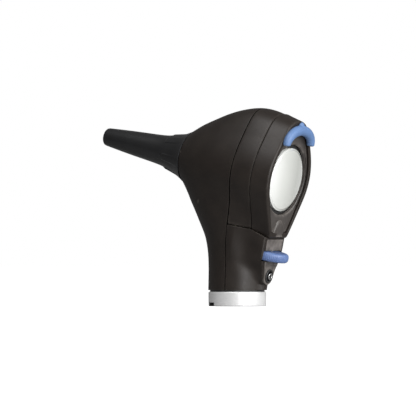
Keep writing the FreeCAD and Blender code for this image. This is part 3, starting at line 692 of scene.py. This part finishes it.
def make_rear_panel():
    """Egg-shaped panel with a bevelled round opening."""
    count, edge, bevel_wide, bevel_deep = 360, 0.3, 0.55, 0.45
    angles = np.linspace(0, 2 * math.pi, count, endpoint=False)
    way = np.stack([0 * angles, np.sin(angles), np.cos(angles)], axis=-1)
    start = np.zeros_like(way)
    start[:, 0] = PANEL_U
    rim = ray_hit(lambda p: module_field(p) + PANEL_INSET, start, way)
    back = PANEL_U - PANEL_THICK
    # Each ring: u, share of the way from the opening to the rim, and shift of its radius
    rings = [(back, 0, 0.0), (back, 1, 0.0), (PANEL_U - edge, 1, 0.0), (PANEL_U, 1, -edge)]
    rings += [(PANEL_U, share, 0.0) for share in (0.8, 0.6, 0.4, 0.2)]
    rings += [(PANEL_U, 0, bevel_wide), (PANEL_U - bevel_deep, 0, 0.0)]
    points = []
    for u, share, shift in rings:
        radius = OPENING_R + (rim - OPENING_R) * share + shift
        points.append(to_row(np.stack([0 * angles + u, way[:, 1] * radius, way[:, 2] * radius], axis=-1)))
    faces = grid_faces(len(rings), count, wrap_rows=True, wrap_columns=True)
    return make_piece("rear_panel_plate", np.concatenate(points), faces, "eyepiece", "panel", ["rear_panel"])


def make_thumb_pad():
    """Low arch under the lens, two facets meeting on a ridge."""
    half, low, tall = 4.6, BREAK_LOW + 0.7, 7.2
    lip, ridge, sunk, slope = 0.65, 0.9, 0.3, 6
    steps, rows = 24, 8
    across = np.linspace(-1, 1, steps + 1)[:, None]
    up = np.linspace(0, 1, rows + 1)[None, :]
    height = low + tall * np.sqrt(np.clip(1 - across ** 2, 0, 1)) * up
    rise = lip * np.clip(slope * (1 - up), 0, 1) * np.clip(slope * (1 - np.abs(across)), 0, 1)
    front = PANEL_U + rise + ridge * (1 - np.abs(across)) * (1 - up)
    back = PANEL_U - sunk + 0 * front
    layers = [np.stack([u, half * across + 0 * up, height], axis=-1).reshape(-1, 3) for u in (back, front)]
    faces = slab_faces(steps + 1, rows + 1)
    return make_piece("thumb_pad_arch", to_row(np.concatenate(layers)), faces, "eyepiece", "panel",
                      ["thumb_pad"])


# --------------------------------------------------
# Viewing optics, all turned about the optical axis

def dome(start, end, count=10):
    """(u, r) points on a shallow curve between two (u, r) ends, flat at the axis end."""
    (u0, r0), (u1, r1) = start, end
    on_axis, rim = (u0, u1) if r0 < r1 else (u1, u0)
    widest = max(r0, r1)
    points = []
    for step in range(count + 1):
        r = r0 + (r1 - r0) * step / count
        points.append((on_axis + (rim - on_axis) * (r / widest) ** 2, r))
    return points


def make_viewing_lens():
    """Lens with domed faces, its front one ringed by a bevel and set a little further out than CAD's."""
    back, cad_front = span("viewing_lens", 0)
    near_axis, proud, back_bulge, front_bulge = 0.02, 0.6, 1.7, 0.7
    bevel_wide, bevel_deep, edge = 1.05, 0.6, 0.05
    face_r = OPENING_R - 1.6
    inner_r = face_r - bevel_wide
    front = cad_front + proud
    rim_u = front - front_bulge
    profile = dome((back, near_axis), (back + back_bulge, LENS_R))
    profile += [(CELL_END, LENS_R), (CELL_END, face_r), (rim_u - bevel_deep, face_r),
                (rim_u - bevel_deep + 3 * edge, face_r - edge), (rim_u - edge, inner_r + edge),
                (rim_u, inner_r)]
    profile += dome((rim_u, inner_r - 0.08), (front, near_axis), 14)
    return lathe("viewing_lens_glass", profile, "eyepiece", "lens_glass", ["viewing_lens"])


def make_lens_retainer():
    """Thin black ring that fills the panel's opening round the lens."""
    start, end = span("lens_retainer", 0)
    inner, outer = OPENING_R - 1.5, OPENING_R - OPENING_GAP
    corners = [(start, inner), (start, outer), (end, outer), (end, inner)]
    return lathe("lens_retainer_ring", rounded(corners, 0.2), "eyepiece", "black_plastic", ["lens_retainer"])


make_middle_band()
make_eyepiece_casing()
make_rear_panel()
make_thumb_pad()
make_viewing_lens()
make_lens_retainer()

# --------------------------------------------------
# Casings of head and neck, as grids of rays that meet the envelope

def both_sides(half):
    """Joins a grid of half sections with its mirror image across the XZ plane."""
    mirror = half[:, :0:-1] * np.array([1, -1, 1])
    return np.concatenate([mirror, half], axis=1)


def shell_piece(name, outer, inner, nodes):
    """Closed shell between matching grids of outer and inner surface points."""
    points = np.concatenate([outer.reshape(-1, 3), inner.reshape(-1, 3)])
    piece = make_piece(name, points, slab_faces(*outer.shape[:2]), "head", "casing", nodes)
    edit = bmesh.new()
    edit.from_mesh(piece.data)
    inside_walls = [face for face in edit.faces if all(abs(corner.co.y) < MERGE for corner in face.verts)]
    bmesh.ops.delete(edit, geom=inside_walls, context="FACES_ONLY")
    bmesh.ops.recalc_face_normals(edit, faces=edit.faces)
    edit.to_mesh(piece.data)
    edit.free()
    sharpen(piece)
    bevel(piece, 0.22, angle=50.0)
    apply_modifiers(piece)
    return piece


def shell_grids(field, start, way):
    """Outer and inner surface points along the same rays, so that the wall never crosses itself."""
    outer = ray_hit(field, start, way)
    inner = np.minimum(ray_hit(lambda points: field(points) + WALL, start, way), outer - 0.3)
    return [both_sides(start + way * reach[..., None]) for reach in (outer, inner)]


# Seam between front casing and the rest, in the XZ plane: up the neck, then along the plane u = FRONT_END
SEAM_TOP = to_row([[FRONT_END, 0, BREAK_W]])[0]
SEAM_END = to_row([[FRONT_END, 0, FAR_W]])[0]
SEAM_PATH = np.array([(0.4, 0.0), (0.9, 28.0), (SEAM_TOP[0], SEAM_TOP[2]), (SEAM_END[0], SEAM_END[2])])


def front_rows(rows=170, columns=110):
    """Sections in planes that fan out from the line where the nose and collar planes meet."""
    nose = to_row([[NOSE_U, 0, -FAR_W]])[0]
    pivot = nose + W * (CASE_LOW - nose[2]) / W[2]
    steepest = math.atan2(W[2], W[0])
    nose_centre = to_row([[NOSE_U, 0, 0]])[0]
    core = np.array([(0, CASE_LOW), (ORIGIN[0], ORIGIN[2]), (nose_centre[0], nose_centre[2])])

    def crossing(path, turns):
        """Distance from the pivot at which each plane crosses an XZ path."""
        shares = np.linspace(0, len(path) - 1, 400 * len(path))  # 400 points to a stretch
        x = np.interp(shares, range(len(path)), path[:, 0]) - pivot[0]
        z = np.interp(shares, range(len(path)), path[:, 1]) - pivot[2]
        above = z >= -1e-9
        return np.interp(turns, np.arctan2(z, x)[above], np.hypot(x, z)[above])

    field = row_field(envelope)

    def sections(turns):
        """Each plane's direction, and where it meets the front, the seam and the top of the head."""
        along = np.stack([np.cos(turns), 0 * turns, np.sin(turns)], axis=-1)
        inside = pivot + along * crossing(core, turns)[:, None]
        front = crossing(core, turns) - ray_hit(field, inside, -along)
        top = crossing(core, turns) + ray_hit(field, inside, along)
        return along, front, np.minimum(crossing(SEAM_PATH, turns), top), top

    # The seam closes over the head at one turn. Rows crowd towards it, so that its end stays smooth.
    trial = np.linspace(0, steepest, 2000)
    back, top = sections(trial)[2:]
    closing = trial[np.argmax(back >= top)]
    share = np.linspace(0, 1, rows * 2 // 3)
    turns = np.concatenate([closing * (1 - (1 - share) ** 2),
                            np.linspace(closing, steepest, rows // 3 + 1)[1:]])
    along, front, back, top = sections(turns)
    just_inside = 1e-3
    half = ray_hit(field, pivot + along * (back - just_inside)[:, None], 0 * along + SIDE)
    half = np.where(back < top, half, 0.0)
    middle = (front + back) / 2
    last = np.arctan2(half, middle - back)
    angles = last[:, None] * np.linspace(0, 1, columns)[None, :]
    way = along[:, None, :] * -np.cos(angles)[..., None] + SIDE * np.sin(angles)[..., None]
    start = (pivot + along * middle[:, None])[:, None, :] + 0 * way
    return shell_grids(field, start, way)


def row_field(field):
    """Field of optic-frame points, as a field of row-frame points."""
    return lambda points: field(to_optic(points))


def make_front_casing():
    return shell_piece("front_casing_shell", *front_rows(), ["front_casing"])


def neck_top(x):
    """Height of the break line under the eyepiece module, with its gap, at row X."""
    beyond = 4
    u = np.linspace(FRONT_END - beyond, SPINE_U + beyond - 1, 60)
    line = to_row(np.stack([u, 0 * u, break_height(u) - SEAM], axis=-1))
    return np.interp(x, line[:, 0], line[:, 2])


def rear_neck_rows(rows=110, columns=120):
    """Sections from the collar plane up to the break line, tilting gradually to match it."""
    shares = np.linspace(0, 1, rows)[:, None]

    def on_sheet(q):
        height = CASE_LOW + q[..., 2] * (neck_top(q[..., 0]) - CASE_LOW)
        return np.stack([q[..., 0], q[..., 1], height], axis=-1)

    def field(q):
        p = to_optic(on_sheet(q))
        return soft_max(envelope(p), p[..., 0] - SPINE_U, SPINE_EDGE)

    near_seam, core = 2.0, 4.0  # row X by the seam's top; distance of the rays' start behind it
    guess = CASE_LOW + shares[:, 0] * (neck_top(near_seam) - CASE_LOW)
    seam = np.interp(guess, SEAM_PATH[:3, 1], SEAM_PATH[:3, 0]) + SEAM
    at_seam = np.stack([seam, 0 * seam, shares[:, 0]], axis=-1)
    half = ray_hit(field, at_seam, 0 * at_seam + SIDE)
    middle = seam + core
    last = np.arctan2(half, seam - middle)
    angles = last[:, None] * np.linspace(0, 1, columns)[None, :]
    way = np.stack([np.cos(angles), np.sin(angles), 0 * angles], axis=-1)
    start = np.stack([middle, 0 * middle, shares[:, 0]], axis=-1)[:, None, :] + 0 * way
    return [on_sheet(grid) for grid in shell_grids(field, start, way)]


def spine_outline(grow):
    """Teardrop (v, w) outline round both spine plates, from their own extent."""
    top, count = span("spine_plate", 2)[1], 16
    low_half = PORT_R + 0.9
    sides = spline([PORT_W, -38.0, WHEEL_W, top], [low_half, 5.1, 6.2, half_span("spine_plate", 1)])
    heights = np.linspace(top, PORT_W, count)
    right = [(float(sides(w)) + grow, float(w)) for w in heights]
    turns = np.linspace(0, math.pi, count)[1:-1]
    foot = [((low_half + grow) * math.cos(a), PORT_W - (low_half + grow) * math.sin(a)) for a in turns]
    return right + foot + [(-v, w) for v, w in right[::-1]]


def make_rear_neck_casing():
    """Rear shell with a slot for the wheel, a seat and a window for the spine plate, and the port's hole."""
    rim_room, side_room = 0.12, 0.45
    seat_gap, seat_depth, window_inset = 0.14, 1.15, -0.9
    port_gap, port_depth, past_face = 0.02, 6, 3
    piece = shell_piece("rear_neck_shell", *rear_neck_rows(), ["rear_neck_casing"])
    wheel_round = circle(WHEEL_R + rim_room, (WHEEL_CENTRE[0], 0.0), 96)
    port_round = circle(PORT_R + port_gap, (0.0, PORT_W))
    reach = WHEEL_HALF + side_room
    outside = SPINE_U + past_face
    for outline, start, end, axis in (
            (wheel_round, WHEEL_W - reach, WHEEL_W + reach, 2),
            (spine_outline(seat_gap), SPINE_U - seat_depth, outside, 0),
            (spine_outline(window_inset), SPINE_U - KEEL_DEPTH, SPINE_U, 0),
            (port_round, SPINE_U - port_depth, outside - 1, 0)):
        cut(piece, loose_solid(*prism(outline, start, end, axis)))
    return piece


make_front_casing()
make_rear_neck_casing()


# --------------------------------------------------
# Turned pieces on the head

def make_speculum():
    """Ear speculum: rounded tip, long cone and a smooth flare with six raised ribs on it."""
    tip, joint = span("speculum", 0)
    outer = [(tip + 1.6, 3.95), (tip + 10.0, 4.85), (tip + 20.0, 5.75), (tip + 28.0, 6.5), (-36.0, 6.85),
             (-32.5, 7.75), (-29.5, 8.6), (-27.2, 9.4), (-25.2, 10.4), (joint, 11.4)]
    inner = [(joint, 9.6), (-27.5, 7.9), (-36.0, 6.1), (tip + 1.0, 2.7)]
    lip = [(tip + 0.1, 2.8), (tip, 3.0), (tip + 0.12, 3.35), (tip + 0.45, 3.68), (tip + 0.95, 3.86)]
    path = spline([p[0] for p in outer], [p[1] for p in outer])
    profile = lip + [(u, float(path(u))) for u in np.linspace(outer[0][0], joint, 110)] + inner
    ribs, rib_start, rib_height, cone_r = 6, -34.4, 0.42, 6.7
    rib_half, rib_edge, first_rib = math.radians(13), math.radians(3.5), math.radians(-45)
    step_length, clear_end = 0.5, joint - 1.2

    def raised(along, radius, angle):
        """Ribs that start at a short step and die away before the joint."""
        turn = 2 * math.pi / ribs
        off_centre = np.abs((angle - first_rib + turn / 2) % turn - turn / 2)
        across = np.clip((rib_half - off_centre) / rib_edge, 0, 1)
        rise = np.clip((along - rib_start) / step_length, 0, 1)
        fade = np.clip((clear_end - along) / (clear_end - rib_start), 0, 1) ** 0.8
        smooth = across * across * (3 - 2 * across)
        return np.where(radius > cone_r, rib_height * smooth * rise * fade, 0.0)
    return lathe("speculum_cone", profile, "ear_speculum", "speculum_plastic", ["speculum"], 360, raised)


def make_focus_wheel():
    """Thick disc with full round edges, a finely ribbed rim and a bore for its axle."""
    edge_round, ribs, rib_depth, bore = 1.9, 60, 0.1, 0.56
    low, high = WHEEL_W - WHEEL_HALF, WHEEL_W + WHEEL_HALF
    corners = [(low, bore), (low, WHEEL_R, edge_round), (high, WHEEL_R, edge_round), (high, bore)]

    def knurl(along, radius, angle):
        """Shallow waves round the rim, fading out within half a millimetre of it."""
        on_rim = np.clip((radius - WHEEL_R + 0.5) / 0.4, 0, 1)
        return -rib_depth * on_rim * (0.5 + 0.5 * np.cos(ribs * angle))
    profile = with_steps(rounded(corners, 0.1, 8), 0.5)
    return lathe("focus_wheel_disc", profile, "wheel", "blue_plastic", ["focus_wheel"], 480, knurl,
                 axis="wheel", centre=(WHEEL_CENTRE[0], 0.0))


def make_collar_ring():
    """Bright ring with bevelled rims; two notches in its lower rim and bayonet tracks inside."""
    rim_bevel, notch_top, track_low, track_top, track_r = 0.45, 1.65, 3.9, 5.4, 11.5
    corners = [(0.0, SOCKET_R), (0.0, RING_R, rim_bevel), (RING_HEIGHT, RING_R, rim_bevel),
               (RING_HEIGHT, SOCKET_R)]
    ring = lathe("collar_ring_metal", with_steps(rounded(corners, 0.15, 3), 0.8), "head", "ring_metal",
                 ["collar_ring"], 360, axis="row")
    below, inside = -0.5, SOCKET_R - 1
    for turn in (0.0, 180.0):
        cut(ring, ring_wedge(turn + 25.0, 40.0, below, notch_top, SOCKET_R - 0.5, RING_R + 1))
        cut(ring, ring_wedge(turn + 100.0, 20.0, below, track_top, inside, track_r))
        cut(ring, ring_wedge(turn + 119.0, 21.0, track_low, track_top, inside, track_r))
    return ring


def ring_wedge(start, sweep, low, high, inner, outer):
    """Cutter in the shape of a sector of a ring round the neck's axis."""
    angles = np.radians(start + sweep * np.linspace(0, 1, 25))
    points = []
    for z in (low, high):
        for radius in (inner, outer):
            points += [(radius * math.cos(a), radius * math.sin(a), z) for a in angles]
    return loose_solid(points, slab_faces(2, len(angles)))


def make_port():
    """Black bezel and bright nipple of the air port."""
    bezel_wide, tube_r, bore, flange_r, flange_thick, tip_edge = 0.78, 1.5, 0.9, 1.95, 0.9, 0.25
    start, end = span("port_bezel", 0)
    inner = PORT_R - bezel_wide
    corners = [(start, inner), (start, PORT_R), (end, PORT_R, 0.45), (end, inner, 0.3)]
    lathe("port_bezel_ring", rounded(corners, 0.1, 4), "head", "black_plastic", ["port_bezel"], 96,
          centre=(0.0, PORT_W))
    start, end = span("port_nipple", 0)
    flange_end = start + flange_thick
    corners = [(start, bore), (start, flange_r), (flange_end, flange_r), (flange_end, tube_r),
               (end, tube_r, tip_edge), (end, bore, tip_edge)]
    lathe("port_nipple_tube", rounded(corners, 0.08, 4), "head", "steel", ["port_nipple"], 96,
          centre=(0.0, PORT_W))


make_speculum()
make_focus_wheel()
make_collar_ring()
make_port()


# --------------------------------------------------
# Brow rest: a soft rubber arch with a small tab on its crown

def tube_points(centres, radii, flat=1.0, count=28):
    """Rings of points round a path of optic-frame centres, closed with shrinking end rings."""
    centres = np.array(centres)
    tangents = np.gradient(centres, axis=0)
    tangents /= np.linalg.norm(tangents, axis=1)[:, None]
    across = np.cross(tangents, np.array([1.0, 0, 0]))
    across /= np.linalg.norm(across, axis=1)[:, None]
    angles = np.linspace(0, 2 * math.pi, count, endpoint=False)
    rings = []
    for centre, side, radius in zip(centres, across, radii):
        ring = [centre + radius * (math.cos(a) * side + flat * math.sin(a) * np.array([1.0, 0, 0]))
                for a in angles]
        rings.append(ring)
    points = np.array(rings).reshape(-1, 3)
    faces = grid_faces(len(centres), count, wrap_columns=True)
    faces += [tuple(range(count))[::-1], tuple(range(len(points) - count, len(points)))]
    return points, faces


def make_brow_rest():
    """Arch and tab, fused and softened as one skin."""
    half, low, rise, centre_u = 10.6, 16.0, 6.3, 27.5
    end_radius, crown_extra, round_ends, arch_flat = 1.78, 0.5, 0.045, 0.92
    tab_sunk, tab_tall, tab_lean, tab_flat = 0.5, 3.6, 0.25, 0.62
    voxel = 0.28
    reach = math.radians(96)
    turns = np.linspace(-reach, reach, 61)
    share = np.abs(turns) / reach
    past = ((share - 1 + round_ends) / round_ends).clip(0)
    radii = (end_radius + crown_extra * (1 - share ** 2)) * np.sqrt(np.clip(1 - past ** 2, 0.03, 1))
    path = [(centre_u, half * math.sin(a), low + rise * math.cos(a)) for a in turns]
    points, faces = tube_points(path, radii, arch_flat)
    top = low + rise
    heights = np.linspace(top - tab_sunk, top + tab_tall, 9)
    widths = [2.2, 2.2, 2.2, 2.15, 2.0, 1.85, 1.65, 1.3, 0.6]
    lean = [(centre_u - tab_lean * (w - top) / 3, 0.0, w) for w in heights]
    tab, tab_faces = tube_points(lean, widths, tab_flat)
    everything = np.concatenate([points, tab])
    faces = faces + [tuple(len(points) + k for k in face) for face in tab_faces]
    piece = make_piece("brow_rest_arch", to_row(everything), faces, "eyepiece", "blue_rubber", ["brow_rest"])
    remesh = piece.modifiers.new("fuse", "REMESH")
    remesh.mode = "VOXEL"
    remesh.voxel_size = voxel * MM
    soften = piece.modifiers.new("soften", "SMOOTH")
    soften.factor = 0.6
    soften.iterations = 6
    apply_modifiers(piece)
    return piece


make_brow_rest()

# --------------------------------------------------
# Materials on the CAD nodes that stay, each with the finish of its slot

for part in frame["record"]["subparts"]:
    node = frame["nodes"][part["node"]]
    if not node.hide_render:
        node.data.materials.clear()
        node.data.materials.append(material(part["material_slot"]))

# --------------------------------------------------
# Studio, in metres: white backdrop and floor, soft lights, and a long lens level with the object,
# on its left and a little behind it.

CAMERA_AZIMUTH = math.radians(29)
VIEW_WIDTH = 0.180
VIEW_RIGHT, VIEW_HEIGHT = -0.0127, 0.0425  # middle of the view
SENSOR = 36.0  # millimetres
DISTANCE = 6.0
FLOOR_Z = -0.0002
ROOM_LIGHT = 0.20  # light of the room on the object; the camera sees the backdrop as white
FLOOR_GLOW = 1.0  # makes the floor white to the camera alone

floor_mesh = bpy.data.meshes.new("floor")
floor_edit = bmesh.new()
bmesh.ops.create_circle(floor_edit, cap_ends=True, radius=4.0, segments=96)
floor_edit.to_mesh(floor_mesh)
floor_edit.free()
floor = bpy.data.objects.new("floor", floor_mesh)
floor.location.z = FLOOR_Z
bpy.context.scene.collection.objects.link(floor)
floor_material, floor_tree, floor_shader = shader("floor", 0.7)
floor_tone = ramp(floor_tree, noise(floor_tree, coordinates(floor_tree), 60.0),
                  [(0.3, (0.30, 0.30, 0.30)), (0.7, (0.34, 0.34, 0.34))])
floor_tree.links.new(floor_tone, floor_shader.inputs["Base Color"])
camera_ray = floor_tree.nodes.new("ShaderNodeLightPath").outputs["Is Camera Ray"]
glow = floor_tree.nodes.new("ShaderNodeMath")
glow.operation = "MULTIPLY"
glow.inputs[1].default_value = FLOOR_GLOW
floor_tree.links.new(camera_ray, glow.inputs[0])
floor_tree.links.new(glow.outputs[0], floor_shader.inputs["Emission Strength"])
floor_shader.inputs["Emission Color"].default_value = (1, 1, 1, 1)
floor.data.materials.append(floor_material)

world = bpy.data.worlds.new("studio")
world.use_nodes = True
world_tree = world.node_tree
backdrop = world_tree.nodes["Background"]
backdrop.inputs["Color"].default_value = (1, 1, 1, 1)
level = world_tree.nodes.new("ShaderNodeMapRange")
level.inputs["To Min"].default_value = ROOM_LIGHT
level.inputs["To Max"].default_value = 1.0
world_light_path = world_tree.nodes.new("ShaderNodeLightPath")
world_tree.links.new(world_light_path.outputs["Is Camera Ray"], level.inputs["Value"])
world_tree.links.new(level.outputs["Result"], backdrop.inputs["Strength"])
bpy.context.scene.world = world


def area_light(name, azimuth, elevation, distance, size, power, height=0.045):
    """Square soft light aimed at the object, from an azimuth measured like the camera's."""
    data = bpy.data.lights.new(name, "AREA")
    data.size = size
    data.energy = power
    light = bpy.data.objects.new(name, data)
    turn, rise = math.radians(azimuth), math.radians(elevation)
    way = Vector((math.sin(turn) * math.cos(rise), -math.cos(turn) * math.cos(rise), math.sin(rise)))
    light.location = Vector((0, 0, height)) + way * distance
    light.rotation_euler = way.to_track_quat("Z", "Y").to_euler()
    bpy.context.scene.collection.objects.link(light)


area_light("key", 5.0, 62.0, 0.55, 0.30, 2.2)
area_light("fill", 92.0, 20.0, 0.60, 0.25, 3.0)
area_light("front", 58.0, 4.0, 0.60, 0.22, 2.8)

view_way = Vector((math.sin(CAMERA_AZIMUTH), -math.cos(CAMERA_AZIMUTH), 0))
view_right = Vector((math.cos(CAMERA_AZIMUTH), math.sin(CAMERA_AZIMUTH), 0))
target = view_right * VIEW_RIGHT + Vector((0, 0, VIEW_HEIGHT))
camera_data = bpy.data.cameras.new("camera")
camera_data.sensor_width = SENSOR
camera_data.lens = SENSOR * DISTANCE / VIEW_WIDTH
camera_data.clip_end = 20
camera = bpy.data.objects.new("camera", camera_data)
camera.location = target + view_way * DISTANCE
camera.rotation_euler = view_way.to_track_quat("Z", "Y").to_euler()
bpy.context.scene.collection.objects.link(camera)
bpy.context.scene.camera = camera
bpy.context.scene.view_settings.view_transform = "Standard"
